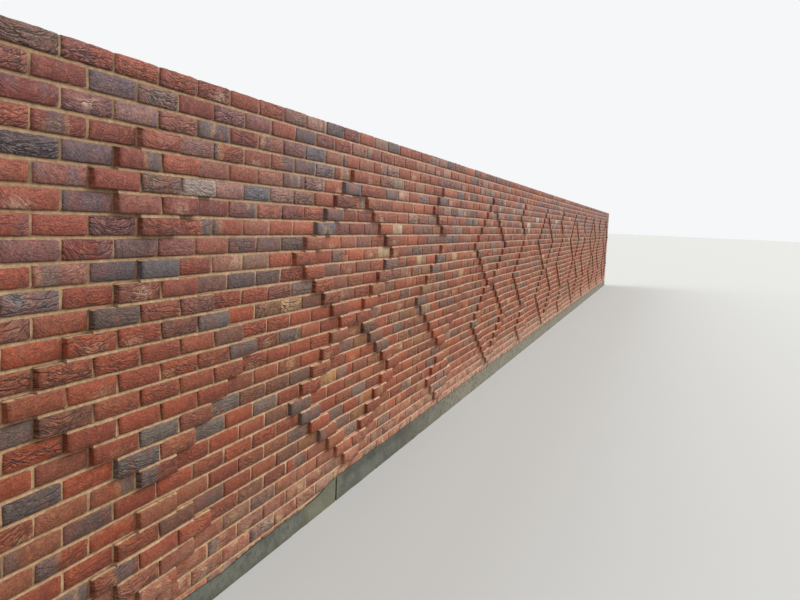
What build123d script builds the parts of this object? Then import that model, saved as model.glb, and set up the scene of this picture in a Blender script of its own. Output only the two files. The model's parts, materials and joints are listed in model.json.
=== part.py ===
from build123d import *

import os

# A brick garden wall in stretcher bond, six bays long, with lozenges and chained diamonds of projecting
# bricks. Millimetres. X runs along the wall, the patterned face looks towards -Y and Z is up. The origin is on
# the underside of the concrete strip, at mid-length and mid-thickness.

# Bricks and mortar
BRICK_LENGTH = 215.0
BRICK_DEPTH = 102.5
BRICK_HEIGHT = 65.0
JOINT = 10.0

# Setting out of the wall
BAYS = 6
BAY_BRICKS = 16
LARGE_LOZENGE_BRICKS = 6
TOP_PLAIN_COURSES = 3
BOTTOM_PLAIN_COURSES = 1
PROJECTION = 25.0

# Concrete strip that carries the bricks
STRIP_HEIGHT = 110.0
FIRST_STRIP_LENGTH = 2510.0
STRIP_LENGTH = 8170.0
STRIP_GAP = 14.0
STRIP_ARRIS = 4.0

# Worked out from the sizes above
HALF_BRICK = (BRICK_LENGTH + JOINT) / 2
COURSE = BRICK_HEIGHT + JOINT
BAY_HALVES = 2 * BAY_BRICKS
RUN = BAYS * BAY_HALVES * HALF_BRICK - JOINT
THICKNESS = 2 * BRICK_DEPTH + JOINT
PATTERN_COURSES = 4 * LARGE_LOZENGE_BRICKS - 1
COURSES = TOP_PLAIN_COURSES + PATTERN_COURSES + BOTTOM_PLAIN_COURSES
TOP = STRIP_HEIGHT + COURSES * COURSE
TEETH = (COURSES - 1) // 2

# Planes that face the viewer of the patterned side
MIDDLE = Plane.XZ
BACK_FACE = MIDDLE.offset(-THICKNESS / 2)
FRONT_LEAF_BACK = MIDDLE.offset(JOINT / 2)
SEAT_DEPTH = BRICK_DEPTH - PROJECTION
SEAT = MIDDLE.offset(THICKNESS / 2 - SEAT_DEPTH)


def perp(halves):
    """X of the centre line of an upright joint, counted in half bricks from the left end."""
    return halves * HALF_BRICK - (RUN + JOINT) / 2


def bed(course):
    """Z of the centre line of the bed joint under a course, counted down from the top."""
    return STRIP_HEIGHT + (COURSES - course) * COURSE + JOINT / 2


def swell(bricks):
    """Bricks in each course of a lozenge: one, up to its widest, and back to one."""
    return [*range(1, bricks), *range(bricks, 0, -1)]


def stepped_outline(centre, first_course, half_widths, trim):
    """Corners of a shape that steps in or out at each course, mirrored about its centre."""
    right = []
    left = []
    for course, halves in enumerate(half_widths, first_course):
        reach = halves * HALF_BRICK - trim
        for z in (bed(course - 1), bed(course)):
            right.append((centre + reach, z))
            left.append((centre - reach, z))
    return right + left[::-1]


def lozenge(centre, first_course, bricks):
    """Face of a solid lozenge of projecting bricks, on the plane where they are seated."""
    with BuildSketch(SEAT) as figure:
        with BuildLine():
            Polyline(*stepped_outline(centre, first_course, swell(bricks), JOINT / 2), close=True)
        make_face()
    return figure.sketch


def diamond_chain(centre, first_course, bricks):
    """Face of two linked diamond outlines, one brick wide, where the strands part and meet."""
    outward = range(1, bricks + 1)
    inward = range(bricks + 1, 1, -1)
    halves = [*outward, *inward, *range(3, bricks + 1), *inward, 1]
    with BuildSketch(SEAT) as figure:
        with BuildLine():
            Polyline(*stepped_outline(centre, first_course, halves, JOINT / 2), close=True)
        make_face()
        for first_open in (first_course + 2, first_course + 2 * bricks):
            with BuildLine():
                Polyline(*stepped_outline(centre, first_open, swell(bricks - 1), -JOINT / 2), close=True)
            make_face(mode=Mode.SUBTRACT)
    return figure.sketch


def toothed_bay(bay):
    """Face of a bay of the front leaf, toothed into its neighbours every second course."""
    left = max(perp(bay * BAY_HALVES), -RUN / 2)
    right = min(perp((bay + 1) * BAY_HALVES), RUN / 2)
    top = bed(1)
    tooth_middle = (bed(1) + bed(2 * TEETH)) / 2
    with BuildSketch(FRONT_LEAF_BACK) as face:
        with Locations(((left + right) / 2, (STRIP_HEIGHT + top) / 2)):
            Rectangle(right - left, top - STRIP_HEIGHT)
        if bay > 0:
            with Locations((left, tooth_middle)):
                with GridLocations(HALF_BRICK, 2 * COURSE, 1, TEETH):
                    Rectangle(HALF_BRICK, COURSE, align=(Align.MIN, Align.CENTER), mode=Mode.SUBTRACT)
        if bay < BAYS - 1:
            with Locations((right, tooth_middle)):
                with GridLocations(HALF_BRICK, 2 * COURSE, 1, TEETH):
                    Rectangle(HALF_BRICK, COURSE, align=(Align.MIN, Align.CENTER))
    return face.sketch


def save(part, name):
    """Labels a finished piece and writes it to its own file."""
    part.label = name
    export_step(part, f"parts/{name}.step")


os.makedirs("parts", exist_ok=True)

first_pattern_course = TOP_PLAIN_COURSES + 1
small_bricks = LARGE_LOZENGE_BRICKS // 2
small_courses = len(swell(small_bricks))
large_courses = len(swell(LARGE_LOZENGE_BRICKS))

for bay in range(BAYS):
    number = bay + 1
    lozenge_middle = perp(bay * BAY_HALVES + 2 * (BAY_BRICKS // 4))
    chain_middle = perp(bay * BAY_HALVES + 2 * (3 * BAY_BRICKS // 4))
    upper_face = lozenge(lozenge_middle, first_pattern_course, small_bricks)
    large_first = first_pattern_course + (PATTERN_COURSES - large_courses) // 2
    large_face = lozenge(lozenge_middle, large_first, LARGE_LOZENGE_BRICKS)
    lower_first = first_pattern_course + PATTERN_COURSES - small_courses
    lower_face = lozenge(lozenge_middle, lower_first, small_bricks)
    chain_face = diamond_chain(chain_middle, first_pattern_course, LARGE_LOZENGE_BRICKS)

    # Front leaf of the bay, with a seat cut in it for each figure
    with BuildPart() as front_leaf:
        extrude(toothed_bay(bay), amount=BRICK_DEPTH)
        for figure in (upper_face, large_face, lower_face, chain_face):
            extrude(figure, amount=SEAT_DEPTH, mode=Mode.SUBTRACT)
    save(front_leaf.part, f"front_leaf_bay_{number}")

    # Small lozenge above the large one
    with BuildPart() as upper_lozenge:
        extrude(upper_face, amount=BRICK_DEPTH)
    save(upper_lozenge.part, f"upper_lozenge_bay_{number}")

    # Large lozenge at mid-height
    with BuildPart() as large_lozenge:
        extrude(large_face, amount=BRICK_DEPTH)
    save(large_lozenge.part, f"large_lozenge_bay_{number}")

    # Small lozenge below the large one
    with BuildPart() as lower_lozenge:
        extrude(lower_face, amount=BRICK_DEPTH)
    save(lower_lozenge.part, f"lower_lozenge_bay_{number}")

    # Chain of two diamonds
    with BuildPart() as chain:
        extrude(chain_face, amount=BRICK_DEPTH)
    save(chain.part, f"diamond_chain_bay_{number}")

# Back leaf, with the mortar between the leaves
with BuildPart() as back_leaf:
    with BuildSketch(BACK_FACE):
        with Locations((0, (STRIP_HEIGHT + bed(1)) / 2)):
            Rectangle(RUN, bed(1) - STRIP_HEIGHT)
    extrude(amount=BRICK_DEPTH + JOINT)
save(back_leaf.part, "back_leaf")

# Top course, over both leaves
with BuildPart() as top_course:
    with BuildSketch(Plane.XY.offset(bed(1))):
        Rectangle(RUN, THICKNESS)
    extrude(amount=TOP - bed(1))
save(top_course.part, "top_course")

# Concrete strip, cast in lengths with an open joint between them
joints = [-RUN / 2 + FIRST_STRIP_LENGTH]
while joints[-1] + STRIP_LENGTH < RUN / 2:
    joints.append(joints[-1] + STRIP_LENGTH)
starts = [-RUN / 2] + [x + STRIP_GAP / 2 for x in joints]
ends = [x - STRIP_GAP / 2 for x in joints] + [RUN / 2]
for number, (start, end) in enumerate(zip(starts, ends), 1):
    with BuildPart() as strip:
        with BuildSketch(Plane.XY):
            with Locations(((start + end) / 2, 0)):
                Rectangle(end - start, THICKNESS)
        extrude(amount=STRIP_HEIGHT)
        chamfer(strip.edges().filter_by(Axis.Z), STRIP_ARRIS)
    save(strip.part, f"concrete_strip_{number}")
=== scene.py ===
"""Dresses the brick garden wall in hand-thrown bricks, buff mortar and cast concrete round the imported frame.

Metres, in the frame of the solids: X runs along the wall, the patterned face looks towards -Y and Z is up.
"""

import json
import math

import bpy
from mathutils import Matrix, Vector, noise

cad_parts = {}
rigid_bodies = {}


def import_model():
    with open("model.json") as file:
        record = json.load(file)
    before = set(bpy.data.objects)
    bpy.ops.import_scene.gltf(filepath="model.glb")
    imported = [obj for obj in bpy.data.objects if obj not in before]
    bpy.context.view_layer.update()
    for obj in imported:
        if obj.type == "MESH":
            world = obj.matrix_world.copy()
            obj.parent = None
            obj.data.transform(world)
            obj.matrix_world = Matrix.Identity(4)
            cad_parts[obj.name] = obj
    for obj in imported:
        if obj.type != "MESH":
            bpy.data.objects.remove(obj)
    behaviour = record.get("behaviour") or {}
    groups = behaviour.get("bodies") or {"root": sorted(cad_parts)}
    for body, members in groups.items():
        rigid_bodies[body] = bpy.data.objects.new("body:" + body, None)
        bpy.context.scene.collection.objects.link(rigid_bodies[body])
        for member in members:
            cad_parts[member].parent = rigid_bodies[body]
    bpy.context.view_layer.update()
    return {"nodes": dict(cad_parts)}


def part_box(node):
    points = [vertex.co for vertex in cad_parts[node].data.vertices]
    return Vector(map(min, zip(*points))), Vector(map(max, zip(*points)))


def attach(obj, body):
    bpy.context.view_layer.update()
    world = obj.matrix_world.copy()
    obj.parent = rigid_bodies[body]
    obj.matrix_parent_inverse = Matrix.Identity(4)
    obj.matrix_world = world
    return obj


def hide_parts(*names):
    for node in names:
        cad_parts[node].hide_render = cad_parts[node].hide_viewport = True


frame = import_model()

# Size of a brick and its joint, and the share of it that is laid whole or as a bat
BRICK_LENGTH = 0.215
BRICK_DEPTH = 0.1025
BRICK_HEIGHT = 0.065
JOINT = 0.010
HALF = (BRICK_LENGTH + JOINT) / 2
COURSE = BRICK_HEIGHT + JOINT
WHOLE = (1.0, 1.0, 1.0)
BAT = ((HALF - JOINT) / BRICK_LENGTH, 1.0, 1.0)

# Shape of a brick: its arrises, what its face lacks of the full height and length at each edge, and its bow
ARRIS = 0.0045
END_ARRIS = 0.0024
CORNER_CUT = 0.55
WASTE = 0.0011
END_WASTE = 0.0004
FACE_BOW = 0.0016

# Faces of a brick's mould across and up, on the patterned side and on the plain back
FRONT_GRID = (12, 2)
BACK_GRID = (8, 1)

# How pieces stray as they are laid: in tilt, in place, in size, and in how ragged a brick's edges are
TILT = 0.008
SLIP = (0.0018, 0.0014, 0.0008)
SMALLEST, LARGEST = (0.988, 1.0, 0.980), (1.008, 1.0, 1.018)
RAGGED = 0.0075
RAGGED_SCALE = 46.0
MOST_KINDS = 1000

# Seeds
SEED_STEP = 100
BRICK_SEED = 5
RELIEF_SEED = 900
LEDGE_SEED = 950

# Setting out in courses and half bricks, and the places that the frame gives
BAYS = 6
BAY_HALVES = 32
COURSES = 27
LEFT, FRONT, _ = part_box("front_leaf_bay_1")[0]
RIGHT, BACK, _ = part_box("back_leaf")[1]
MIDDLE = 0.0
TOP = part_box("top_course")[1].z
STRIP_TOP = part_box("concrete_strip_1")[1].z
FIRST_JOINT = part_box("concrete_strip_1")[1].x
HELD_BACK = 0.0065
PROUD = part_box("large_lozenge_bay_1")[0].y + HELD_BACK

# The projecting figures: first course of each and, course by course, its reach from its centre line
FIGURES = ("upper_lozenge", "large_lozenge", "lower_lozenge", "diamond_chain")
LOZENGE_CENTRE = 8
CHAIN_CENTRE = 24
SMALL_LOZENGE = (1, 2, 3, 2, 1)
LARGE_LOZENGE = (1, 2, 3, 4, 5, 6, 5, 4, 3, 2, 1)
LOZENGES = (("upper_lozenge", 4, SMALL_LOZENGE), ("large_lozenge", 10, LARGE_LOZENGE),
            ("lower_lozenge", 22, SMALL_LOZENGE))
CHAIN_FROM = 4
CHAIN_SPREAD = (0, 1, 2, 3, 4, 5, 6, 5, 4, 3, 2, 1, 2, 3, 4, 5, 6, 5, 4, 3, 2, 1, 0)

# How far the mortar lies back from the face: over a brick, at the lip under it, at its struck edge, between
FLUSH_END = 0.0060
LIP = 0.0060
STRUCK_END = 0.0074
UPRIGHT = 0.0040

# The mortar's rows at a course: from a brick's lower (-1) or upper (1) edge, how far up, and how far back
STRUCK_ROWS = ((-1, -0.0042, LIP), (-1, -0.0005, STRUCK_END), (-1, 0.009, UPRIGHT), (1, -0.007, UPRIGHT),
               (1, -0.001, FLUSH_END))
FRONT_MORTAR_ACROSS = 96
BACK_MORTAR_ACROSS = 48
MORTAR_BELOW_STRIP = 0.05
MORTAR_BELOW_TOP = 0.004
FINE_SINK, BROAD_SINK = 0.0017, 0.0010

# Mortar of the projecting figures: how far it runs in behind them, into the bricks, and up a ledge
RELIEF_DEPTH = 0.012
TUCK = 0.001
OVERLAP = 0.003
LEDGE_RISE = 0.007
PAT_KINDS, PAT_RINGS, PAT_WAVE = 4, 5, 0.16
FILLET_KINDS, FILLET_RINGS, FILLET_WAVE = 5, 7, 0.30
PAT_SLIP, FILLET_SLIP = (0.0, 0.001, 0.0), (0.002, 0.001, 0.0003)

# The concrete strip's skin over the bricks, and its height against them at places from its first joint
SKIN = 0.0065
FRONT_LAP = ((-9.0, 0.102), (-1.40, 0.098), (-1.16, 0.088), (-0.95, 0.100), (-0.28, 0.107), (-0.02, 0.144),
             (9.0, 0.143))
BACK_LAP = ((-9.0, 0.120), (9.0, 0.120))
LAP_UNEVEN = 0.005
LAP_BEHIND = 0.0015
STRIP_BEHIND = 0.0140
LAP_CREST = 0.0005
RIM_DEPTH = 0.001
BROKEN_END = 0.004
STATION = 0.04
LOW_COURSE_STOPS = 0.3

# Rows up the strip's face: how far back, at which share of its height, and how far above or below that
STRIP_ROWS = ((0.0, 0.0, 0.0), (0.0, 0.35, 0.0), (0.0, 0.7, 0.0), (0.0005, 1.0, -0.005), (0.0030, 1.0, 0.0))
STRIP_WAVE, STRIP_CHIP = 0.0025, 0.0015

# Camera as the photograph was taken
CAMERA_AT = (-12.107, -1.820, 1.6316)
CAMERA_YAW, CAMERA_PITCH, CAMERA_ROLL = math.radians(70.381), math.radians(6.026), math.radians(-2.453)
CAMERA_LENS = 33.40
CAMERA_SENSOR = 36.0
CAMERA_REACH = 500.0


# Nodes as Python expressions


class Link:
    """A node's output that takes part in sums written in Python."""

    def __init__(self, nodes, socket):
        self.nodes = nodes
        self.socket = socket

    def math(self, operation, *others, clamp=False):
        return self.nodes.node("ShaderNodeMath", {"operation": operation, "use_clamp": clamp}, self, *others)

    def __add__(self, other):
        return self.math("ADD", other)

    def __sub__(self, other):
        return self.math("SUBTRACT", other)

    def __rsub__(self, other):
        return self.nodes.node("ShaderNodeMath", {"operation": "SUBTRACT"}, other, self)

    def __mul__(self, other):
        return self.math("MULTIPLY", other)

    __radd__ = __add__
    __rmul__ = __mul__


class Nodes:
    """A node tree whose nodes are made one by one and wired by position or by name."""

    def __init__(self, tree):
        self.tree = tree

    def node(self, kind, settings=None, *inputs, out=0, **named):
        """Makes a node, sets its settings and then its sockets by value or link, and gives one output."""
        made = self.tree.nodes.new(kind)
        for key, value in (settings or {}).items():
            if key == "stops":
                set_stops(made.color_ramp, *value)
            else:
                setattr(made, key, value)
        for socket, value in zip([socket for socket in made.inputs if socket.enabled], inputs):
            self.feed(socket, value)
        for key, value in named.items():
            self.feed(made.inputs[key.replace("_", " ")], value)
        if isinstance(out, str):
            return Link(self, made.outputs[out])
        return Link(self, [socket for socket in made.outputs if socket.enabled][out])

    def feed(self, socket, value):
        """Links a socket or sets its value; a colour is given by its red, green and blue."""
        if isinstance(value, Link):
            self.tree.links.new(value.socket, socket)
        elif value is not None:
            socket.default_value = (*value, 1.0) if socket.type == "RGBA" else value

    def vectors(self, operation, first, second):
        return self.node("ShaderNodeVectorMath", {"operation": operation}, first, second)

    def vector(self, *numbers):
        return self.node("ShaderNodeCombineXYZ", None, *numbers)

    def parts(self, vector):
        """The three numbers of a vector."""
        split = self.node("ShaderNodeSeparateXYZ", None, vector).socket.node
        return [Link(self, socket) for socket in split.outputs]

    def noise(self, at, scale, detail=2.0, roughness=0.5, distortion=0.0, out="Fac"):
        return self.node("ShaderNodeTexNoise", Vector=at, Scale=scale, Detail=detail, Roughness=roughness,
                         Distortion=distortion, out=out)


class Finish(Nodes):
    """A material and the nodes that give it its colours, patterns and grain."""

    def __init__(self, name):
        self.material = bpy.data.materials.new(name)
        self.material.use_nodes = True
        super().__init__(self.material.node_tree)

    def attribute(self, name, out="Fac"):
        return self.node("ShaderNodeAttribute", {"attribute_name": name}, out=out)

    def object_place(self):
        return self.node("ShaderNodeTexCoord", out="Object")

    def band(self, value, low, high):
        """0 below low, 1 above high and smooth between them."""
        return self.node("ShaderNodeMapRange", {"interpolation_type": "SMOOTHSTEP"}, value, low, high)

    def line(self, value, inner, outer):
        """1 where a value is within inner of zero, and 0 from outer on."""
        return 1.0 - self.band(value.math("ABSOLUTE"), inner, outer)

    def ramp(self, factor, *stops, interpolation="LINEAR"):
        return self.node("ShaderNodeValToRGB", {"stops": (stops, interpolation)}, factor)

    def blend(self, factor, first, second, how="MIX"):
        return self.node("ShaderNodeMix", {"data_type": "RGBA", "blend_type": how}, factor, first, second)

    def tint(self, factor, colour, by):
        """Multiplies a colour by a tint, as far as the factor says."""
        return self.blend(factor, colour, by, "MULTIPLY")

    def mottle(self, factor, colour, pattern, dark, light):
        """Tints a colour along a pattern, between two stops that are each a place and its tint."""
        return self.tint(factor, colour, self.ramp(pattern, dark, light))

    def bump(self, height, distance):
        return self.node("ShaderNodeBump", Strength=1.0, Distance=distance, Height=height, out="Normal")

    def surface(self, **sockets):
        shader = self.tree.nodes["Principled BSDF"]
        for key, value in sockets.items():
            self.feed(shader.inputs[key.replace("_", " ")], value)
        return self.material


def set_stops(ramp, stops, interpolation):
    """Puts (place, colour) stops on a colour ramp."""
    ramp.interpolation = interpolation
    while len(ramp.elements) > 1:
        ramp.elements.remove(ramp.elements[-1])
    for index, (place, colour) in enumerate(stops):
        element = ramp.elements[0] if index == 0 else ramp.elements.new(place)
        element.position = place
        element.color = (*colour, 1.0)


def paint(*mixed):
    """Linear colour of a paint given in red, green and blue, each from 0 to 255 on screen."""
    shares = [value / 255 for value in mixed]
    return tuple(share / 12.92 if share <= 0.04045 else ((share + 0.055) / 1.055) ** 2.4 for share in shares)


# Clay colours and the share of the bricks that each takes
CLAY = (
    (0.20, paint(140, 63, 42)),
    (0.14, paint(154, 72, 46)),
    (0.15, paint(126, 54, 38)),
    (0.13, paint(142, 77, 57)),
    (0.10, paint(122, 71, 61)),
    (0.08, paint(144, 93, 76)),
    (0.06, paint(100, 72, 66)),
    (0.04, paint(88, 72, 68)),
    (0.05, paint(86, 80, 82)),
    (0.02, paint(102, 97, 97)),
    (0.018, paint(126, 92, 74)),
    (0.012, paint(186, 148, 120)),
)

# Other colours on the clay
KISSED = paint(86, 84, 88)
FRINGE = paint(196, 150, 110)
DUST = paint(176, 118, 90)
ROSY = paint(146, 102, 98)
BLOOM = paint(208, 172, 152)
SALTS = paint(194, 156, 132)
CREAM = paint(202, 178, 128)
OCHRE = paint(142, 108, 70)
# Painted shade, for the creases, wrinkles and pits and for the face's lower edge and ends
PAINTED_SHADE = paint(40, 20, 17)
SMEAR = paint(160, 128, 94)
EVEN_RED = paint(136, 70, 52)

# Painted light on the clay: sky light high on the wall, shade low on it and more light further along it, where
# warm and grey bricks differ
SKY_LIGHT = (0.92, 1.22, 1.65)
LOW_WARM, LOW_GREY = (0.93, 0.83, 0.55), (0.98, 0.92, 0.78)
AFAR_WARM, AFAR_GREY, AFAR_HIGH = (1.19, 1.29, 1.06), (1.68, 1.38, 1.12), (1.07, 1.10, 1.20)
# Painted highlights on the folds' ridges and glints, and the darker clay of clouds
RIDGE_LIT, GLINT_LIT, CLOUD_DARK = (1.52, 1.74, 1.84), (1.34, 1.48, 1.54), (0.78, 0.76, 0.76)

# Places on a pattern and the clay's tints there, from brick to brick and for its hue, grain and streaks
GLOW_STOPS = ((0.0, (0.84, 0.83, 0.83)), (1.0, (1.17, 1.18, 1.17)))
HUE_STOPS = ((0.34, (0.84, 0.83, 0.83)), (0.66, (1.18, 1.18, 1.18)))
GRAIN_STOPS = ((0.32, (0.54, 0.52, 0.52)), (0.68, (1.46, 1.44, 1.42)))
STREAK_STOPS = ((0.30, (0.68, 0.66, 0.66)), (0.70, (1.34, 1.31, 1.29)))

# Which bricks are slate and which bloom, by their tones, and which are marked and bloom, by their own numbers
SLATE_FROM, SLATE_TO, BLOOMED_TONES_TO = (0.86, 0.87), (0.975, 0.98), (0.76, 0.78)
MARKED_FROM, BLOOMED_FROM = (0.86, 0.92), (0.84, 0.87)

# Heights and lengths of the wall over which the painted light and shade change, and where the clay wears, is
# splashed and sprayed
SKY_LIGHT_BAND = (1.10, 1.85)
SHADED_BAND = (0.9, 1.7)
HIGH_BAND = (1.4, 2.0)
WORN_BAND = (0.2, 1.2)
SPLASH_BAND = (0.14, 0.46)
SPRAY_BAND = (0.18, 0.42)
AFAR_BAND = (LEFT + 0.8, LEFT + 3.2)
SPLASH_ALONG_BAND = (-9.5, -4.5)

# Places on a brick: back from its face, near its lower and upper edges, and near its ends
FACE_BAND = (0.003, 0.011)
UNDER_BAND = (-0.0308, -0.0268)
OVER_BAND = (0.0274, 0.0306)
ENDS_BAND = (0.1030, 0.1065)
LOWER_HALF_BAND = (-0.008, 0.028)

# Scales of the patterns that run along the brick, per metre along it and up it
FOLD_SCALES = (14.0, 76.0)
WRINKLE_SCALES = (24.0, 150.0)
STREAK_SCALES = (60.0, 230.0)
CLAY_RELIEF = 0.0055

# Each brick's clay lies at its own place within this reach, so that no two bricks have the same folds
LIE = 40.0


class Clay(Finish):
    """Sand-creased clay in reds, plums and blue-greys, one colour a brick, with folds left by the mould."""

    def __init__(self):
        super().__init__("creased_clay")
        place, lie = self.attribute("clay_at", "Vector"), self.attribute("lie", "Vector")
        self.own = self.vectors("ADD", place, lie)
        self.x, self.y, self.z = self.parts(place)
        self.along, _, self.height = self.parts(self.object_place())
        self.tone, self.shade, self.fold = (self.attribute(name) for name in ("tone", "shade", "fold"))
        self.slate = self.band(self.tone, *SLATE_FROM) * (1.0 - self.band(self.tone, *SLATE_TO))

        # Each brick's own numbers from 0 to 1, and the line along it that its folds and streaks follow
        self.numbers = first, second, third = [number * (1 / LIE) for number in self.parts(lie)]
        self.wander = self.noise(self.own, 19.0) - 0.5
        self.level = self.bowed(second * 0.7 - 0.35, first * 6.0 - 0.5) + self.wander * 0.020
        self.streak = self.lengthwise(STREAK_SCALES, first * 90.0, third * 80.0, 2.0, 0.6)
        self.cloud = self.noise(self.own, 42.0, 3.0, 0.65)

    def bowed(self, lean, bow):
        """Height over a line along the brick that leans and is bowed."""
        return self.z - lean * self.x - bow * self.x * self.x

    def lengthwise(self, scales, slide, turn, detail, roughness):
        """A pattern drawn out along the brick, moved from brick to brick by slide and turn."""
        at = self.vector(self.x * scales[0] + slide, self.level * scales[1], turn)
        return self.noise(at, 1.0, detail, roughness)

    def folds(self):
        """Folds and wrinkles with their lit edges, and how far the clay stands up between them."""
        first, second, third = self.numbers
        fold = self.lengthwise(FOLD_SCALES, third * 50.0, first * 30.0, 2.0, 0.6)
        off = (fold - 0.5).math("ABSOLUTE")
        here = self.band(self.noise(self.own, 20.0, 1.0), 0.37, 0.55)
        lower = (1.0 - self.band(self.z, *LOWER_HALF_BAND)) * 0.45 + 0.55
        unworn = self.band(self.height, *WORN_BAND) * 0.35 + 0.65
        deep = (self.band(self.fold, 0.15, 1.0) * 0.78 + 0.22) * unworn
        force = here * lower * deep
        crease = (1.0 - self.band(off, 0.006, third * 0.030 + 0.030)) * force
        ridge = self.band(off, 0.040, 0.072) * (1.0 - self.band(off, 0.080, 0.130)) * force
        lips = (off * 5.0).math("POWER", 0.6, clamp=True) * force

        # Two long folds, each with its own height, lean and bow
        unbroken = self.band(self.cloud, 0.36, 0.50) * self.band(self.fold, 0.10, 0.45) * deep
        for middle, lean, bow in ((third * 0.030 - 0.022, second * 0.24 - 0.12, first * 4.0 - 2.4),
                                  (first * 0.036 - 0.010, third * 0.30 - 0.15, second * 5.0 - 2.0)):
            over = self.bowed(lean, bow) - middle + self.wander * 0.026
            crease = crease.math("MAXIMUM", self.line(over, 0.0006, 0.0026) * unbroken)
            ridge = ridge.math("MAXIMUM", self.line(over + 0.0044, 0.0008, 0.0030) * unbroken * 0.8)

        # Small wrinkles between the folds
        wrinkles = self.lengthwise(WRINKLE_SCALES, first * 70.0, third * 60.0, 1.0, 0.5)
        off = (wrinkles - 0.5).math("ABSOLUTE")
        busy = self.band(self.noise(self.own, 34.0, 1.0), 0.40, 0.60) * (deep * 0.5 + 0.5)
        wrinkle = (1.0 - self.band(off, 0.0, 0.05)) * busy
        glint = self.band(off, 0.06, 0.10) * (1.0 - self.band(off, 0.10, 0.17)) * busy
        return crease, ridge, lips, wrinkle, glint

    def fired(self):
        """Colour of the brick and of the marks of the kiln, and where it is warm rather than grey."""
        first, second, third = self.numbers
        stops, reached = [], 0.0
        for share, colour in CLAY:
            stops.append((reached, colour))
            reached += share
        body = self.ramp(self.tone, *stops, interpolation="CONSTANT")
        other = self.ramp(self.shade, *stops, interpolation="CONSTANT")
        drift = self.noise(self.own, 13.0, 2.0, 0.5, 0.3)
        colour = self.blend(self.band(drift, 0.46, 0.62) * 0.34, body, other)
        glow = (self.tone * 61.7).math("FRACT")
        colour = self.mottle(1.0, colour, glow, *GLOW_STOPS)
        # Painted sky light: the clay lighter and bluer high on the wall, less so on slate bricks
        colour = self.tint(self.band(self.height, *SKY_LIGHT_BAND) * (1.0 - self.slate * 0.7), colour, SKY_LIGHT)

        # Where a neighbour stood against it in the kiln
        reach = (self.x - (first * 0.26 - 0.13)).math("ABSOLUTE") - (third * 0.045 + 0.025)
        reach = reach + (drift - 0.5) * 0.08
        marked = self.band(second, *MARKED_FROM)
        broken = self.band(self.noise(self.own, 9.0, 1.0), 0.42, 0.56)
        fringe = (1.0 - self.band(reach, 0.006, 0.030)) * broken
        colour = self.blend(fringe * marked * 0.50, colour, FRINGE)
        kiss = (1.0 - self.band(reach, -0.022, 0.012)) * marked
        colour = self.blend(kiss * 0.8, colour, KISSED)
        warm = 1.0 - self.slate.math("MAXIMUM", kiss) * 0.75

        # Dust, small changes of hue, and bloom round a spot on a few of the warm bricks
        colour = self.blend(self.band(self.cloud, 0.48, 0.74) * warm * 0.34, colour, DUST)
        colour = self.tint(1.0 - self.band(self.cloud, 0.28, 0.50), colour, CLOUD_DARK)
        hue = self.noise(self.own, 88.0, 2.0, 0.6)
        colour = self.blend(self.band(hue, 0.50, 0.70) * warm * 0.12, colour, OCHRE)
        colour = self.blend((1.0 - self.band(hue, 0.32, 0.48)) * 0.24, colour, ROSY)
        colour = self.mottle(1.0, colour, hue, *HUE_STOPS)
        away = (self.x - (second * 0.18 - 0.09)) * 0.5
        above = self.z - (self.tone * 0.05 - 0.035)
        wobble = (self.noise(self.own, 38.0, 3.0, 0.65) - 0.5) * 0.07
        spot = (away * away + above * above).math("POWER", 0.5) + wobble
        bloomed = self.band(third, *BLOOMED_FROM) * (1.0 - self.band(self.tone, *BLOOMED_TONES_TO))
        bloom = (1.0 - self.band(spot, 0.0, 0.040)) * bloomed * self.band(self.streak, 0.26, 0.62)
        return self.blend(bloom * 0.60, colour, BLOOM), warm

    def weathered(self, colour, warm):
        """Changes up the wall and along it, with painted shade low on it and painted light further along it,
        and the salts and spray at its foot.
        """
        # Painted shade low on the wall, where the red is also plainer
        shaded = 1.0 - self.band(self.height, *SHADED_BAND)
        colour = self.blend(shaded * warm * 0.24, colour, EVEN_RED)
        colour = self.tint(shaded * warm, colour, LOW_WARM)
        colour = self.tint(shaded * (1.0 - warm), colour, LOW_GREY)
        # Painted light: the clay lighter and paler further along the wall, and more so high up
        afar = self.band(self.along, *AFAR_BAND)
        colour = self.tint(afar * warm, colour, AFAR_WARM)
        colour = self.tint(afar * (1.0 - warm), colour, AFAR_GREY)
        colour = self.tint(afar * self.band(self.height, *HIGH_BAND), colour, AFAR_HIGH)
        patchy = self.band(self.noise(self.own, 16.0, 3.0, 0.6), 0.30, 0.62)
        splash = (1.0 - self.band(self.height, *SPLASH_BAND)) * patchy
        colour = self.blend(splash * (self.band(self.along, *SPLASH_ALONG_BAND) * 0.50 + 0.40), colour, SALTS)
        spatter = self.noise(self.vector(self.along, 0.0, self.height), 9.0, 4.0, 0.7)
        spray = (1.0 - self.band(self.height, *SPRAY_BAND)) * self.band(spatter, 0.54, 0.66)
        return self.blend(spray * 0.55, colour, CREAM)

    def edged(self, colour):
        """The face's edges, with painted shade below and at the ends, and smeared with mortar above."""
        face = 1.0 - self.band(self.y, *FACE_BAND)
        ragged = (self.noise(self.own, 90.0) - 0.5) * 0.008
        # Painted shade along the face's lower edge and, fainter, at its ends
        under = 1.0 - self.band(self.z + ragged, *UNDER_BAND)
        ends = self.band(self.x.math("ABSOLUTE") + ragged, *ENDS_BAND)
        colour = self.blend((under * 0.33).math("MAXIMUM", ends * 0.12) * face, colour, PAINTED_SHADE)
        smeared = self.band(self.noise(self.own, 30.0), 0.44, 0.62)
        smear = self.band(self.z + ragged * 0.8, *OVER_BAND) * smeared
        return self.blend(smear * face * 0.28, colour, SMEAR)

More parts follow.
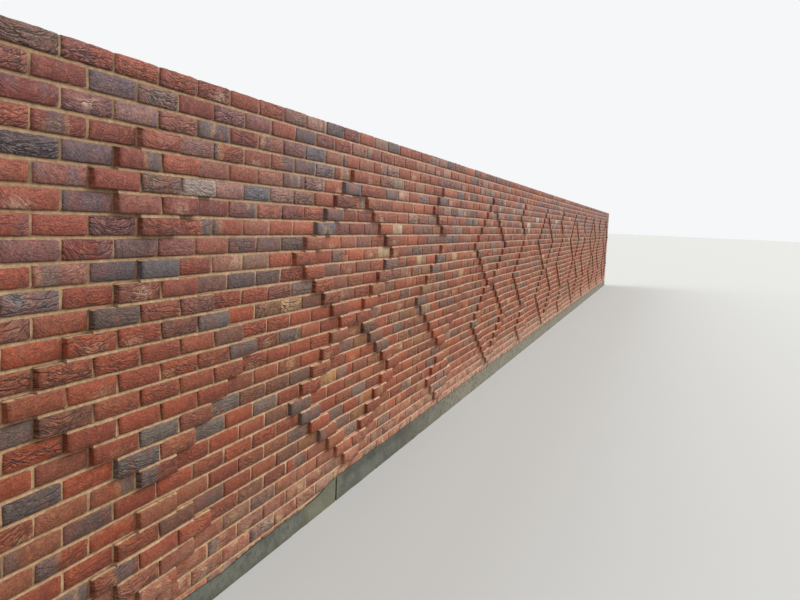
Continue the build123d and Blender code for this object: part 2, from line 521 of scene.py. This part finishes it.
    def finished(self):
        """The whole finish: colour, then sand, folds and pits over it with painted highlights and painted
        shade, and their relief.
        """
        crease, ridge, lips, wrinkle, glint = self.folds()
        grain = self.noise(self.own, 190.0, 4.0, 0.75)
        pit = self.band(self.noise(self.own, 170.0, 1.0), 0.68, 0.75)
        colour = self.weathered(*self.fired())
        colour = self.mottle(1.0, colour, grain, *GRAIN_STOPS)
        colour = self.mottle(0.60, colour, self.streak, *STREAK_STOPS)
        # Painted highlights on the ridges and glints, and painted shade in the creases, wrinkles and pits
        colour = self.tint(ridge * 0.85, colour, RIDGE_LIT)
        colour = self.tint(glint * 0.60, colour, GLINT_LIT)
        dark = (crease * 0.96).math("MAXIMUM", wrinkle * 0.66).math("MAXIMUM", pit * 0.5)
        colour = self.edged(self.blend(dark, colour, PAINTED_SHADE))
        relief = lips * 1.1 - crease * 0.5 - wrinkle * 0.25
        relief = relief + grain * 0.40 + self.streak * 0.25 + self.cloud * 0.5 - pit * 0.4
        return self.surface(Base_Color=colour, Roughness=0.8, Specular_IOR_Level=0.5,
                            Normal=self.bump(relief, CLAY_RELIEF))


# Mortar's colours low and high on the wall, with painted light low and painted shade high, painted shade in a
# bed under each brick, darker brown uprights, and tints of patches and sand
LIME_LOW, LIME_HIGH = paint(196, 160, 125), paint(172, 143, 113)
BED_SHADE = paint(98, 74, 50)
UPRIGHT_BROWN = paint(98, 70, 52)
PATCH_STOPS = ((0.3, (0.74, 0.71, 0.68)), (0.7, (1.32, 1.32, 1.32)))
SAND_STOPS = ((0.25, (0.6, 0.58, 0.55)), (0.75, (1.3, 1.28, 1.25)))
LIME_HOLLOW = (0.80, 0.78, 0.74)
LIME_AFAR = (1.38, 1.34, 1.58)

# Where the mortar changes: up the wall, along it, and down each course, as a share of the course from its top
LIME_HEIGHT_BAND = (0.3, 2.0)
LIME_AFAR_BAND = (LEFT + 0.8, LEFT + 3.0)
BED_SHADE_FROM, BED_SHADE_TO, UPRIGHT_BROWN_TO = (0.80, 0.85), (0.87, 0.95), (0.78, 0.86)
MORTAR_RELIEF = 0.002


def mortar_finish():
    """Buff lime mortar with coarse sand, with painted shade in the hollow under each brick and painted light
    that makes it paler low on the wall and further along it.
    """
    mortar = Finish("buff_mortar")
    at = mortar.object_place()
    broad = mortar.noise(at, 7.0, 3.0, 0.6)
    patch = mortar.noise(at, 48.0, 3.0, 0.65)
    lump = mortar.noise(at, 90.0, 2.0, 0.6)
    grain = mortar.noise(at, 700.0, 2.0, 0.7)
    along, _, height = mortar.parts(at)
    step = ((TOP - height) * (1 / COURSE)).math("FRACT")
    # Painted light and shade: the mortar paler low on the wall and darker high up
    colour = mortar.ramp(mortar.band(height, *LIME_HEIGHT_BAND), (0.0, LIME_LOW), (1.0, LIME_HIGH))
    colour = mortar.mottle(1.0, colour, patch, *PATCH_STOPS)
    colour = mortar.tint(mortar.band(broad, 0.35, 0.68) * 0.6, colour, LIME_HOLLOW)
    # Painted light: the mortar paler further along the wall
    colour = mortar.tint(mortar.band(along, *LIME_AFAR_BAND), colour, LIME_AFAR)
    # Painted shade in the bed just under each brick
    bed_shade = mortar.band(step, *BED_SHADE_FROM) * (1.0 - mortar.band(step, *BED_SHADE_TO))
    colour = mortar.blend(bed_shade * 0.50, colour, BED_SHADE)
    # Darker brown in patches over the upright joints
    brown_upright = (1.0 - mortar.band(step, *UPRIGHT_BROWN_TO)) * mortar.band(mortar.noise(at, 6.0, 1.0), 0.44, 0.54)
    colour = mortar.blend(brown_upright * 0.50, colour, UPRIGHT_BROWN)
    colour = mortar.mottle(0.4, colour, grain, *SAND_STOPS)
    return mortar.surface(Base_Color=colour, Roughness=0.95, Specular_IOR_Level=0.2,
                          Normal=mortar.bump(grain * 0.5 + lump, MORTAR_RELIEF))


# Concrete colours, and where along the strip they change, from its first joint
CAST_DARK, CAST_PALE = paint(82, 84, 76), paint(116, 117, 105)
BLOTCH = paint(60, 63, 55)
EDGE_SHADE = paint(56, 54, 46)
FOOT_SOIL = paint(96, 84, 66)
SCOURED = paint(158, 150, 130)
LIME_RUN = paint(136, 134, 108)
OPEN_END = paint(30, 28, 24)
RIM = paint(46, 42, 36)
GRIT_STOPS = ((0.25, (0.6, 0.6, 0.6)), (0.75, (1.3, 1.3, 1.3)))
EDGE_BAND = (0.080, 0.110)
FOOT_BAND = (0.0, 0.045)
SCOURED_BAND = (FIRST_JOINT + 0.6, FIRST_JOINT + 3.0)
LIME_FROM_BAND = (FIRST_JOINT - 0.50, FIRST_JOINT - 0.25)
LIME_TO_BAND = (FIRST_JOINT, FIRST_JOINT + 0.1)
CONCRETE_RELIEF = 0.003


def concrete_finish():
    """Weathered grey-green cast concrete, blotched and stained towards the ground, with painted shadow along
    its top edge.
    """
    concrete = Finish("weathered_concrete")
    at = concrete.object_place()
    broad = concrete.noise(at, 5.0, 4.0, 0.65)
    blotch = concrete.noise(at, 38.0, 3.0, 0.6)
    grain = concrete.noise(at, 500.0, 2.0, 0.7)
    along, _, height = concrete.parts(at)
    colour = concrete.ramp(concrete.band(broad, 0.3, 0.7), (0.0, CAST_DARK), (1.0, CAST_PALE))
    colour = concrete.blend(concrete.band(blotch, 0.50, 0.70) * 0.45, colour, BLOTCH)
    # Painted shadow along the strip's top edge, under the bricks
    edge = concrete.band(height + (blotch - 0.5) * 0.04, *EDGE_BAND)
    colour = concrete.blend(edge * 0.40, colour, EDGE_SHADE)
    foot = 1.0 - concrete.band(height + (broad - 0.5) * 0.08, *FOOT_BAND)
    colour = concrete.blend(foot * 0.45, colour, FOOT_SOIL)
    blurred = along + (blotch - 0.5) * 0.2
    scoured = concrete.band(blurred, *SCOURED_BAND) * concrete.band(blotch, 0.32, 0.54)
    colour = concrete.blend(scoured * 0.72, colour, SCOURED)
    lime = concrete.band(blurred, *LIME_FROM_BAND) * (1.0 - concrete.band(blurred, *LIME_TO_BAND))
    colour = concrete.blend(lime * 0.5, colour, LIME_RUN)
    colour = concrete.blend(concrete.attribute("open_end") * 0.9, colour, OPEN_END)
    # Painted shadow at the rim where the strip meets the bricks
    colour = concrete.blend(concrete.attribute("rim") * 0.75, colour, RIM)
    colour = concrete.mottle(0.3, colour, grain, *GRIT_STOPS)
    return concrete.surface(Base_Color=colour, Roughness=0.9, Specular_IOR_Level=0.25,
                            Normal=concrete.bump(grain * 0.4 + blotch * 1.5, CONCRETE_RELIEF))


# Meshes


def mesh_object(name, points, faces, smooth=()):
    """A new object in the scene from points and faces, with the listed faces shaded smooth."""
    mesh = bpy.data.meshes.new(name)
    mesh.from_pydata(points, [], faces)
    for index in smooth:
        mesh.polygons[index].use_smooth = True
    mesh.update()
    made = bpy.data.objects.new(name, mesh)
    bpy.context.scene.collection.objects.link(made)
    return made


def store(made, name, kind, values):
    """Keeps a number or a vector at every point of an object's mesh."""
    attribute = made.data.attributes.new(name, kind, "POINT")
    attribute.data.foreach_set("vector" if kind == "FLOAT_VECTOR" else "value", values)


def rough(height, *at):
    """Uneven height at a place, up to about the given one either way."""
    return noise.noise(Vector(at)) * height


def grid(across, up):
    """Faces between points in rows from the bottom, and the points of its edges from the bottom left."""
    row = across + 1
    faces = [(a, a + 1, a + row + 1, a + row) for j in range(up) for a in range(j * row, j * row + across)]
    edges = [list(range(row)), [across + j * row for j in range(up + 1)],
             [up * row + across - i for i in range(row)], [(up - j) * row for j in range(up + 1)]]
    return faces, edges


def close_behind(faces, edges, corner):
    """Adds the sides and back of a box whose front has the given edges; corner is its first rear point."""
    for side, edge in enumerate(edges):
        faces.append((*edge[::-1], corner + side, corner + (side + 1) % 4))
    faces.append(tuple(corner + k for k in (3, 2, 1, 0)))


def tube(rings, count):
    """Faces round rings of points, with a flat end on the first and the last."""
    faces = []
    for start in range(0, (rings - 1) * count, count):
        for k in range(count):
            n = (k + 1) % count
            faces.append((start + n, start + k, start + count + k, start + count + n))
    faces.append(tuple(range(count)))
    faces.append(tuple((rings - 1) * count + k for k in reversed(range(count))))
    return faces


def brick_mould(name, across, up):
    """One closed brick, its face at y 0 looking towards -Y, bowed out a little and rounded at its arrises."""
    half_length = BRICK_LENGTH / 2 - END_WASTE - END_ARRIS
    half_height = BRICK_HEIGHT / 2 - WASTE - ARRIS
    points = []
    for j in range(up + 1):
        for i in range(across + 1):
            x, z = i / across * 2 - 1, j / up * 2 - 1
            points.append((x * half_length, -FACE_BOW * (1 - x * x) * (1 - z * z), z * half_height))
    faces, edges = grid(across, up)
    rim = [point for edge in edges for point in edge[:-1]]
    shoulder = len(points)
    for point in rim:
        j, i = divmod(point, across + 1)
        x, _, z = points[point]
        side, rise = (i == across) - (i == 0), (j == up) - (j == 0)
        out = CORNER_CUT if side and rise else 1.0
        points.append((x + out * END_ARRIS * side, ARRIS, z + out * ARRIS * rise))
    count = len(rim)
    for k in range(count):
        n = (k + 1) % count
        faces.append((rim[n], rim[k], shoulder + k, shoulder + n))
    smooth = range(len(faces))
    corner = len(points)
    for x, z in ((-1, -1), (1, -1), (1, 1), (-1, 1)):
        points.append((x * BRICK_LENGTH / 2, BRICK_DEPTH, z * BRICK_HEIGHT / 2))
    shoulder_edges, begin = [], 0
    for length in (across, up, across, up):
        shoulder_edges.append([shoulder + (begin + k) % count for k in range(length + 1)])
        begin += length
    close_behind(faces, shoulder_edges, corner)
    brick = mesh_object(name, points, faces, smooth)
    store(brick, "clay_at", "FLOAT_VECTOR", [c for point in points for c in point])
    store(brick, "wear", "FLOAT", [float(k < corner) for k in range(len(points))])
    return brick


def mortar_pat(name, seed):
    """A dab of mortar in a unit cube, struck back at its top and wavy along its outer edge, for one joint."""
    points = []
    for i in range(PAT_RINGS):
        x = i / (PAT_RINGS - 1) - 0.5
        for y, z in ((0.0, -0.5), (0.22, 0.5), (1.0, 0.5), (1.0, -0.5)):
            wave = rough(PAT_WAVE, x * 3 + seed * 5.7, y * 2 + z, seed) if y < 1 else 0.0
            points.append((x, y - 0.5 + wave, z))
    return mesh_object(name, points, tube(PAT_RINGS, 4))


def ledge_fillet(name, seed):
    """Mortar left on a ledge, thick against the wall and thin at a ragged outer edge, in a unit box."""
    points = []
    for i in range(FILLET_RINGS):
        x = i / (FILLET_RINGS - 1) - 0.5
        inward = 1 - (2 * x) ** 2
        reach = 0.80 + inward * rough(FILLET_WAVE, x * 4 + seed * 3.3, seed, 0)
        rise = 0.70 + inward * rough(FILLET_WAVE, x * 5 + seed, 7.0, seed)
        points += [(x, 0.0, 0.0), (x, -reach, 0.0), (x, -reach * 0.96, rise * 0.18), (x, 0.0, rise)]
    faces = tube(FILLET_RINGS, 4)
    return mesh_object(name, points, faces, range(len(faces) - 2))


def collect(name, objects):
    """Moves the pieces to be repeated into a collection of their own."""
    made = bpy.data.collections.new(name)
    bpy.context.scene.collection.children.link(made)
    for thing in objects:
        bpy.context.scene.collection.objects.unlink(thing)
        made.objects.link(thing)
    return made


# Laying, by a node tree that sets a random piece on each place


def laying_tree():
    """Node tree that sets a piece of a collection on each place, a little askew and worn in its own way."""
    tree = bpy.data.node_groups.new("lay_pieces", "GeometryNodeTree")
    inputs = {"Places": "Geometry", "Pieces": "Collection", "Tilt": "Float", "Slip": "Vector",
              "Ragged": "Float", "Seed": "Int", "Finish": "Material"}
    for label, kind in inputs.items():
        tree.interface.new_socket(label, in_out="INPUT", socket_type=f"NodeSocket{kind}")
    tree.interface.new_socket("Laid", in_out="OUTPUT", socket_type="NodeSocketGeometry")
    laying = Nodes(tree)
    given = {socket.name: Link(laying, socket) for socket in tree.nodes.new("NodeGroupInput").outputs}

    def vary(kind, number, low, high):
        """A random value for each place; the number keeps one draw apart from another."""
        seed = laying.node("FunctionNodeIntegerMath", {"operation": "ADD"}, given["Seed"], number)
        return laying.node("FunctionNodeRandomValue", {"data_type": kind}, low, high, Seed=seed)

    def kept(kind, name):
        return laying.node("GeometryNodeInputNamedAttribute", {"data_type": kind}, name)

    def keep(kind, pieces, name, value):
        """Keeps a value on each laid piece."""
        settings = {"data_type": kind, "domain": "INSTANCE"}
        return laying.node("GeometryNodeStoreNamedAttribute", settings, pieces, True, name, value)

    least, most = (-1.0, -1.0, -1.0), (1.0, 1.0, 1.0)
    slip = laying.vectors("MULTIPLY", vary("FLOAT_VECTOR", 1, least, most), given["Slip"])
    tilt = laying.vectors("SCALE", vary("FLOAT_VECTOR", 2, least, most), given["Tilt"])
    turn = laying.vector(0.0, 0.0, kept("FLOAT", "turn"))
    grown = vary("FLOAT_VECTOR", 8, SMALLEST, LARGEST)
    size = laying.vectors("MULTIPLY", kept("FLOAT_VECTOR", "size"), grown)
    laid = laying.node("GeometryNodeInstanceOnPoints",
                       Points=laying.node("GeometryNodeSetPosition", Geometry=given["Places"], Offset=slip),
                       Instance=laying.node("GeometryNodeCollectionInfo", None, given["Pieces"], True, True),
                       Pick_Instance=True, Instance_Index=vary("INT", 3, 0, MOST_KINDS),
                       Rotation=laying.vectors("ADD", tilt, turn), Scale=size)
    for number, name in enumerate(("tone", "shade", "fold"), 4):
        laid = keep("FLOAT", laid, name, vary("FLOAT", number, 0.0, 1.0))
    laid = keep("FLOAT_VECTOR", laid, "lie", vary("FLOAT_VECTOR", 7, (0.0, 0.0, 0.0), (LIE, LIE, LIE)))
    real = laying.node("GeometryNodeRealizeInstances", None, laid)
    own = laying.vectors("ADD", kept("FLOAT_VECTOR", "clay_at"), kept("FLOAT_VECTOR", "lie"))
    uneven = laying.vectors("SUBTRACT", laying.noise(own, RAGGED_SCALE, 2.5, out="Color"), (0.5, 0.5, 0.5))
    wear = laying.vectors("SCALE", uneven, kept("FLOAT", "wear") * given["Ragged"])
    worn = laying.node("GeometryNodeSetPosition", Geometry=real, Offset=wear)
    dressed = laying.node("GeometryNodeSetMaterial", None, worn, True, given["Finish"])
    laying.feed(tree.nodes.new("NodeGroupOutput").inputs[0], dressed)
    return tree


def lay(name, places, pieces, finish, seed, tilt=0.0, slip=(0.0, 0.0, 0.0), ragged=0.0):
    """A mesh of pieces laid on places, each (x, y, z, turn, (size x, y, z))."""
    made = mesh_object(name, [place[:3] for place in places], [])
    store(made, "turn", "FLOAT", [place[3] for place in places])
    store(made, "size", "FLOAT_VECTOR", [c for place in places for c in place[4]])
    modifier = made.modifiers.new("laying", "NODES")
    modifier.node_group = LAYING
    values = {"Pieces": pieces, "Tilt": tilt, "Slip": slip, "Ragged": ragged, "Seed": seed, "Finish": finish}
    for item in LAYING.interface.items_tree:
        if item.name in values:
            modifier[item.identifier] = values[item.name]
    depsgraph = bpy.context.evaluated_depsgraph_get()
    plain = bpy.data.meshes.new_from_object(made.evaluated_get(depsgraph), preserve_all_data_layers=True,
                                            depsgraph=depsgraph)
    made.modifiers.clear()
    made.data = plain
    return made


# Setting out of the bricks


def perp(halves):
    """X of the centre line of an upright joint, in half bricks from the left end."""
    return LEFT - JOINT / 2 + halves * HALF


def brick_z(course):
    """Z of the middle of a course's bricks, counted down from the top."""
    return TOP - (course - 0.5) * COURSE + JOINT / 2


def figure_at(course, centre, bay):
    """Name of the projecting figure that a brick belongs to, or None."""
    place = centre - bay * BAY_HALVES
    for name, first, widths in LOZENGES:
        if first <= course < first + len(widths) and abs(place - LOZENGE_CENTRE) < widths[course - first]:
            return name
    row = course - CHAIN_FROM
    if 0 <= row < len(CHAIN_SPREAD) and abs(place - CHAIN_CENTRE) == CHAIN_SPREAD[row]:
        return "diamond_chain"
    return None


def course_bricks(course):
    """Centre, in half bricks from the left end, and size of every brick in a course."""
    last = BAYS * BAY_HALVES
    if course % 2:
        return [(start + 1, WHOLE) for start in range(0, last, 2)]
    return [(0.5, BAT), *((start + 1, WHOLE) for start in range(1, last - 1, 2)), (last - 0.5, BAT)]


def bay_of(centre):
    """Bay that a brick belongs to; a brick across a bay's line belongs to the bay on its left."""
    return min(BAYS - 1, max(0, math.ceil(centre / BAY_HALVES) - 1))


def put(piece, slot, *nodes):
    """Hands a finished piece to the frame."""
    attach(piece, "root")
    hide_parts(*nodes)


def lay_bricks():
    """Lays every brick of the wall, a piece for each figure, leaf and bay."""
    groups = {}
    for course in range(1, COURSES + 1):
        for centre, size in course_bricks(course):
            bay = bay_of(centre)
            figure = figure_at(course, centre, bay)
            x, z = perp(centre), brick_z(course)
            front = (x, PROUD if figure else FRONT, z, 0.0, size)
            behind = (x, BACK, z, math.pi, size)
            if course == 1:
                groups.setdefault(("top_course_bricks", "top_course"), []).extend([front, behind])
                continue
            name = figure or "front_leaf"
            groups.setdefault((f"{name}_bricks_{bay + 1}", f"{name}_bay_{bay + 1}"), []).append(front)
            groups.setdefault((f"back_leaf_bricks_{bay + 1}", "back_leaf"), []).append(behind)

    # The lowest course shows only at the left end, where the strip doesn't cover it
    for centre, size in course_bricks(COURSES + 1):
        if perp(centre) < FIRST_JOINT - LOW_COURSE_STOPS:
            place = (perp(centre), FRONT, brick_z(COURSES + 1), 0.0, size)
            groups[("front_leaf_bricks_1", "front_leaf_bay_1")].append(place)
    for number, ((name, node), places) in enumerate(groups.items()):
        moulds = BACK_MOULDS if name.startswith("back") else FRONT_MOULDS
        piece = lay(name, places, moulds, clay, SEED_STEP * number + BRICK_SEED, TILT, SLIP, RAGGED)
        put(piece, "projecting_brick" if name.split("_bricks")[0] in FIGURES else "brick", node)


def mortar_profile(low, high):
    """Heights of the mortar's rows and how far each lies back, so that each bed sheds its water."""
    rows = [(low, FLUSH_END)]
    for course in range(COURSES, 0, -1):
        for edge, rise, back in STRUCK_ROWS:
            rows.append((brick_z(course) + edge * (BRICK_HEIGHT / 2 - WASTE) + rise, back))
    return rows[:-1] + [(high, FLUSH_END)]


def mortar_slab(name, bay, face, across, *nodes):
    """The mortar of one bay of one leaf, from its struck face back to the middle of the wall."""
    sign = 1 if MIDDLE > face else -1
    first = LEFT + UPRIGHT if bay == 0 else perp(bay * BAY_HALVES)
    last = RIGHT - UPRIGHT if bay == BAYS - 1 else perp((bay + 1) * BAY_HALVES)
    rows = mortar_profile(STRIP_TOP - (MORTAR_BELOW_STRIP if bay == 0 else 0.0), TOP - MORTAR_BELOW_TOP)
    points = []
    for z, back in rows:
        for i in range(across + 1):
            x = first + (last - first) * i / across
            sink = rough(FINE_SINK, x * 21.0, z * 30.0, face * 50)
            sink += rough(BROAD_SINK, x * 4.0, z * 9.0, face * 20)
            points.append((x, face + sign * (back + sink), z))
    faces, edges = grid(across, len(rows) - 1)
    smooth = range(len(faces))
    corner = len(points)
    for edge in edges:
        x, _, z = points[edge[0]]
        points.append((x, MIDDLE, z))
    close_behind(faces, edges, corner)
    if sign < 0:
        faces = [face[::-1] for face in faces]
    slab = mesh_object(name, points, faces, smooth)
    slab.data.materials.append(mortar)
    put(slab, "mortar", *nodes)


def relief_mortar(bay):
    """Mortar of the projecting figures: between their bricks, and on the ledges that they leave."""
    proud = set()
    for course in range(2, COURSES):
        for centre, _ in course_bricks(course):
            if bay_of(centre) == bay and figure_at(course, centre, bay):
                proud.update(((course, centre - 1), (course, centre)))

    def between(course, half):
        return (course, half) in proud and (course + 1, half) in proud

    inner, outer = FRONT + RELIEF_DEPTH, PROUD + UPRIGHT
    middle, depth = (inner + outer) / 2, inner - outer
    bed_height, upright_width = JOINT + 2 * WASTE + OVERLAP, JOINT + OVERLAP
    stop_short = JOINT / 2 + 2 * TUCK
    beds, uprights, fillets = [], [], []
    for course, half in sorted(proud):
        z = brick_z(course)
        if between(course, half):
            start = perp(half) + (0 if between(course, half - 1) else stop_short)
            stop = perp(half + 1) - (0 if between(course, half + 1) else stop_short)
            beds.append(((start + stop) / 2, middle, z - COURSE / 2, 0.0, (stop - start, depth, bed_height)))
        if (course - 1, half) not in proud:
            ledge = z + BRICK_HEIGHT / 2 - WASTE - TUCK
            fillets.append((perp(half + 0.5), FRONT + OVERLAP, ledge, 0.0, (HALF, FRONT - PROUD, LEDGE_RISE)))
        if (course, half + 1) in proud and (half + course) % 2 == 0:
            size = (upright_width, depth, BRICK_HEIGHT + 2 * TUCK)
            uprights.append((perp(half + 1), middle, z, 0.0, size))
    nodes = [f"{figure}_bay_{bay + 1}" for figure in FIGURES]
    for name, places, pieces, seed, slip in (
            ("relief_mortar", beds + uprights, PATS, RELIEF_SEED, PAT_SLIP),
            ("ledge_mortar", fillets, FILLETS, LEDGE_SEED, FILLET_SLIP)):
        put(lay(f"{name}_{bay + 1}", places, pieces, mortar, seed + bay, slip=slip), "mortar", *nodes)


def lap_height(x, side):
    """Height of the strip's cast edge against the bricks, a little wavy between the listed places."""
    along = x - FIRST_JOINT
    places = BACK_LAP if side > 0 else FRONT_LAP
    for (start, low), (stop, high) in zip(places, places[1:]):
        if along <= stop:
            break
    wave = rough(LAP_UNEVEN, x * 1.7, side * 3.0, 0.0) + rough(LAP_UNEVEN, x * 9.0, side * 5.0, 1.0)
    return low + (high - low) * (along - start) / (stop - start) + wave


def concrete_ring(x, low, high):
    """Points round the strip at one place along it, up the front and down the back."""
    broken = BROKEN_END if x in (low.x, high.x) else 0.0
    points = []
    for side, face in ((-1, low.y), (1, high.y)):
        top = lap_height(x, side)
        ring = []
        for back, share, rise in STRIP_ROWS:
            z = share * top + rise
            out = SKIN - broken - back
            if share < 1.0:
                out += rough(STRIP_WAVE, x * 6.0, z * 20.0, side * 3.0)
                out += rough(STRIP_CHIP, x * 24.0, z * 14.0, side * 4.0)
            ring.append((x, face + side * out, z))
        behind = face - side * (LAP_BEHIND if top > STRIP_TOP else STRIP_BEHIND)
        ring += [(x, behind, top + LAP_CREST), (x, behind, STRIP_TOP)]
        points += ring if side < 0 else ring[::-1]
    return points


def concrete_length(number):
    """One cast length of the strip, uneven where it meets the bricks and broken a little at its ends."""
    low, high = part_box(f"concrete_strip_{number}")
    across = max(2, round((high.x - low.x) / STATION))
    stations = [low.x + (high.x - low.x) * i / across for i in range(across + 1)]
    stations[1:1] = [low.x + BROKEN_END]
    stations[-1:-1] = [high.x - BROKEN_END]
    rings = [concrete_ring(x, low, high) for x in stations]
    points = [point for ring in rings for point in ring]
    faces = [face[::-1] for face in tube(len(rings), len(rings[0]))]
    strip = mesh_object(f"concrete_length_{number}", points, faces)
    inner = [end for end in (low.x, high.x) if LEFT < end < RIGHT]
    store(strip, "open_end", "FLOAT", [float(x in inner) for x, _, _ in points])
    rim = [z > lap_height(x, math.copysign(1, y)) - RIM_DEPTH for x, y, z in points]
    store(strip, "rim", "FLOAT", [float(on_rim) for on_rim in rim])
    strip.data.materials.append(concrete)
    put(strip, "concrete", f"concrete_strip_{number}")


# The wall

LAYING = laying_tree()
clay, mortar, concrete = Clay().finished(), mortar_finish(), concrete_finish()
FRONT_MOULDS = collect("front_moulds", [brick_mould("front_mould", *FRONT_GRID)])
BACK_MOULDS = collect("back_moulds", [brick_mould("back_mould", *BACK_GRID)])
PATS = collect("pats", [mortar_pat(f"pat_{n}", n + 1) for n in range(PAT_KINDS)])
FILLETS = collect("fillets", [ledge_fillet(f"fillet_{n}", n + 1) for n in range(FILLET_KINDS)])

lay_bricks()
for bay in range(BAYS):
    front_nodes = (f"front_leaf_bay_{bay + 1}", "top_course")
    mortar_slab(f"front_mortar_{bay + 1}", bay, FRONT, FRONT_MORTAR_ACROSS, *front_nodes)
    mortar_slab(f"back_mortar_{bay + 1}", bay, BACK, BACK_MORTAR_ACROSS, "back_leaf", "top_course")
    relief_mortar(bay)
for number in range(1, 1 + sum(name.startswith("concrete_strip") for name in frame["nodes"])):
    concrete_length(number)

for group in (FRONT_MOULDS, BACK_MOULDS, PATS, FILLETS):
    for thing in list(group.objects):
        bpy.data.objects.remove(thing)
    bpy.data.collections.remove(group)

# Floor, light and camera

FLOOR_SIZE = 400.0
SOFT_LIGHT = 0.68
SHADE_GREY, SEEN_GREY, BACKDROP = paint(138, 138, 135), paint(186, 186, 183), paint(246, 247, 248)


def seen_plainly(nodes):
    """1 for what the camera sees straight on or in something shiny or clear."""
    kinds = ("Camera", "Glossy", "Transmission")
    straight, shiny, clear = (nodes.node("ShaderNodeLightPath", out=f"Is {kind} Ray") for kind in kinds)
    return straight.math("MAXIMUM", shiny).math("MAXIMUM", clear)


corners = [(x * FLOOR_SIZE, y * FLOOR_SIZE, 0.0) for x, y in ((-1, -1), (1, -1), (1, 1), (-1, 1))]
floor = mesh_object("floor", corners, [(0, 1, 2, 3)])
pale = Finish("pale_floor")
ground = pale.blend(seen_plainly(pale), SHADE_GREY, SEEN_GREY)
floor.data.materials.append(pale.surface(Base_Color=ground, Roughness=0.95))

world = bpy.data.worlds.new("studio")
bpy.context.scene.world = world
world.use_nodes = True
sky = Nodes(world.node_tree)
sky.tree.nodes.remove(sky.tree.nodes["Background"])
soft = sky.node("ShaderNodeBackground", None, (1.0, 1.0, 1.0), SOFT_LIGHT)
white = sky.node("ShaderNodeBackground", None, BACKDROP, 1.0)
sky.feed(sky.tree.nodes["World Output"].inputs["Surface"],
         sky.node("ShaderNodeMixShader", None, seen_plainly(sky), soft, white))


def lamp(name, energy, spread, tilt, turn):
    """A soft distant lamp, tilted from overhead and turned about the upright."""
    light = bpy.data.lights.new(name, "SUN")
    light.energy = energy
    light.angle = math.radians(spread)
    made = bpy.data.objects.new(name, light)
    made.rotation_euler = (math.radians(tilt), 0.0, math.radians(turn))
    bpy.context.scene.collection.objects.link(made)


lamp("front_lamp", energy=2.5, spread=50, tilt=50, turn=48)
lamp("fill_lamp", energy=0.35, spread=70, tilt=55, turn=-60)
lamp("back_lamp", energy=1.6, spread=60, tilt=58, turn=205)

camera = bpy.data.cameras.new("camera")
camera.lens = CAMERA_LENS
camera.sensor_width = CAMERA_SENSOR
camera.clip_end = CAMERA_REACH
viewpoint = bpy.data.objects.new("camera", camera)
turned = Matrix.Rotation(-CAMERA_YAW, 4, "Z") @ Matrix.Rotation(math.pi / 2 - CAMERA_PITCH, 4, "X")
turned = turned @ Matrix.Rotation(-CAMERA_ROLL, 4, "Z")
viewpoint.matrix_world = Matrix.Translation(CAMERA_AT) @ turned
bpy.context.scene.collection.objects.link(viewpoint)
bpy.context.scene.camera = viewpoint

bpy.context.scene.view_settings.view_transform = "Standard"
